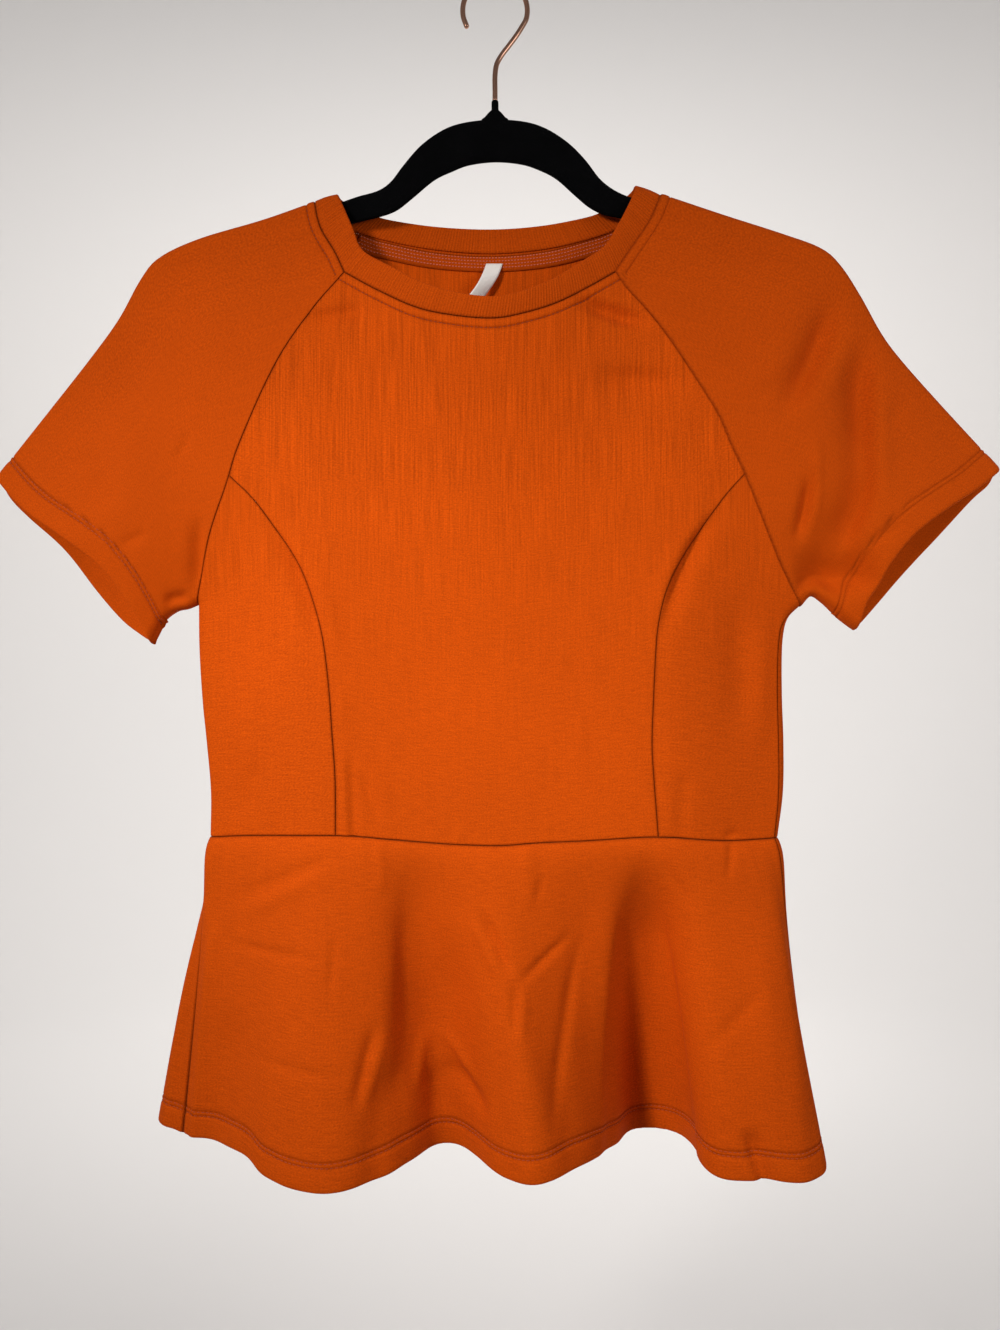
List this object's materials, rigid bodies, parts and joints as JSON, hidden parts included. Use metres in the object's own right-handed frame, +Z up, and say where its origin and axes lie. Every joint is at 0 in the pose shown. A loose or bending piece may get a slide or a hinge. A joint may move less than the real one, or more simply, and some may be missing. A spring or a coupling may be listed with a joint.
{
  "type": "peplum top on a hanger",
  "caption": "Short-sleeved knit peplum top with raglan sleeves, princess seams, a round banded neck and a flared waist frill, hung open on a slim hanger with a wire hook.",
  "frame": {"origin": "inside of the crest of the hanger's hook, where it rests on a rail", "axes": "+X toward the wearer's left, -Y out of the front of the top, +Z up"},
  "size_m": [0.6506, 0.11, 0.7638],
  "materials": {
    "knit_rust": "matt double knit with fine upright wales",
    "label_white": "bare woven tape",
    "hanger_flock": "black flocked plastic",
    "hook_wire": "plated wire, rose tone"
  },
  "bodies": {
    "root": {"front_center": "knit_rust", "front_side_right": "knit_rust", "front_side_left": "knit_rust", "back": "knit_rust", "sleeve_right": "knit_rust", "sleeve_left": "knit_rust", "neckband": "knit_rust", "peplum_front": "knit_rust", "peplum_back": "knit_rust", "neck_label": "label_white", "hanger_body": "hanger_flock", "hanger_hook": "hook_wire"}
  },
  "joints": []
}
